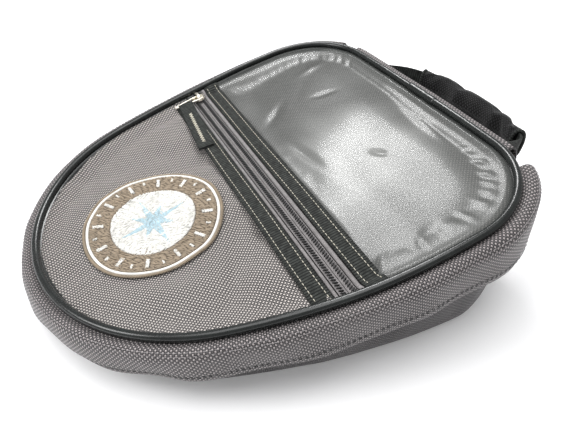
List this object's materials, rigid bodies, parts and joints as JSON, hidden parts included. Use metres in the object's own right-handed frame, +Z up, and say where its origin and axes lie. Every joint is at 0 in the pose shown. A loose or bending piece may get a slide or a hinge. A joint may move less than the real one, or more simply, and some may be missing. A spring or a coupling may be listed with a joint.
{
  "type": "tank bag",
  "caption": "Small wedge-shaped soft bag for a fuel tank, with a hinged zipped lid, clear map pocket, piped rim and padded carry handle.",
  "frame": {"origin": "on the underside of the base, below the middle of the lid's rim", "axes": "+Y from the round low end at the rider to the tall end with the handle, +X to the right seen from behind the low end, +Z up"},
  "size_m": [0.3152, 0.3779, 0.1004],
  "materials": {
    "grey_nylon": "woven, matt",
    "black_webbing": "ribbed, matt",
    "grey_zip_tape": "fine woven",
    "zip_coil": "moulded",
    "clear_vinyl": "clear, glossy",
    "patch_thread": "satin stitch",
    "black_vinyl": "glossy",
    "lining": "matt",
    "foam": "closed cell foam",
    "grip_base": "dimpled",
    "board": "smooth",
    "zip_metal": "bright plated",
    "magnet": "plated"
  },
  "bodies": {
    "base": {"side_gusset": "grey_nylon", "rear_wall": "grey_nylon", "base_panel": "grip_base", "base_board": "board", "base_lining": "lining", "base_zip_tape": "black_webbing", "base_zip_coil": "zip_coil", "magnet_1": "magnet", "magnet_2": "magnet", "magnet_3": "magnet", "magnet_4": "magnet", "handle_anchor_left": "black_webbing", "handle_anchor_right": "black_webbing", "rain_flap_end_left": "grey_nylon", "rain_flap_end_right": "grey_nylon"},
    "lid": {"nose_panel": "grey_nylon", "pocket_floor": "grey_nylon", "map_window": "clear_vinyl", "front_binding_tape": "black_webbing", "rear_binding_tape": "black_webbing", "front_zip_tape": "grey_zip_tape", "rear_zip_tape": "grey_zip_tape", "front_zip_coil": "zip_coil", "rear_zip_coil": "zip_coil", "emblem_patch": "patch_thread", "piping": "black_vinyl", "piping_sleeve": "black_vinyl", "lid_foam": "foam", "lid_lining": "lining", "lid_band": "grey_nylon", "rain_flap": "grey_nylon", "lid_zip_tape": "black_webbing", "lid_zip_coil": "zip_coil"},
    "map_slider": {"map_slider": "zip_metal"},
    "map_pull_ring": {"map_pull_ring": "zip_metal"},
    "map_pull_tab": {"map_pull_tab": "black_webbing"},
    "main_slider": {"main_slider": "zip_metal"},
    "main_pull": {"main_pull_ring": "zip_metal", "main_pull_tab": "black_webbing"},
    "handle": {"handle_webbing": "black_webbing", "handle_grip": "black_webbing"}
  },
  "joints": [
    {"name": "lid_hinge", "type": "hinge", "parent": "base", "child": "lid", "pos_m": [0, 0.15172, 0.09662], "axis": [-1, 0, 0], "range_deg": [0, 100]},
    {"name": "map_zip", "type": "slide", "parent": "lid", "child": "map_slider", "axis": [1, 0, 0], "range_m": [0, 0.172]},
    {"name": "map_ring_swing", "type": "hinge", "parent": "map_slider", "child": "map_pull_ring", "pos_m": [-0.1275, 0.00732, 0.06742], "axis": [0, -0.9833, -0.1822], "range_deg": [0, 110]},
    {"name": "map_tab_flip", "type": "hinge", "parent": "map_pull_ring", "child": "map_pull_tab", "pos_m": [-0.121, -0.00625, 0.0649], "axis": [0, -0.9833, -0.1822], "range_deg": [0, 60]},
    {"name": "main_zip", "type": "hinge", "parent": "base", "child": "main_slider", "pos_m": [0.08448, 0.09334, 0.07258], "axis": [0, 0.1822, -0.9833], "range_deg": [0, 62]},
    {"name": "main_pull_swing", "type": "hinge", "parent": "main_slider", "child": "main_pull", "pos_m": [0.10455, 0.15408, 0.08383], "axis": [0, 0.1822, -0.9833], "range_deg": [-80, 0]},
    {"name": "handle_swing", "type": "hinge", "parent": "base", "child": "handle", "pos_m": [0.006, 0.1685, 0.079], "axis": [1, 0, 0], "range_deg": [-45, 70]}
  ]
}
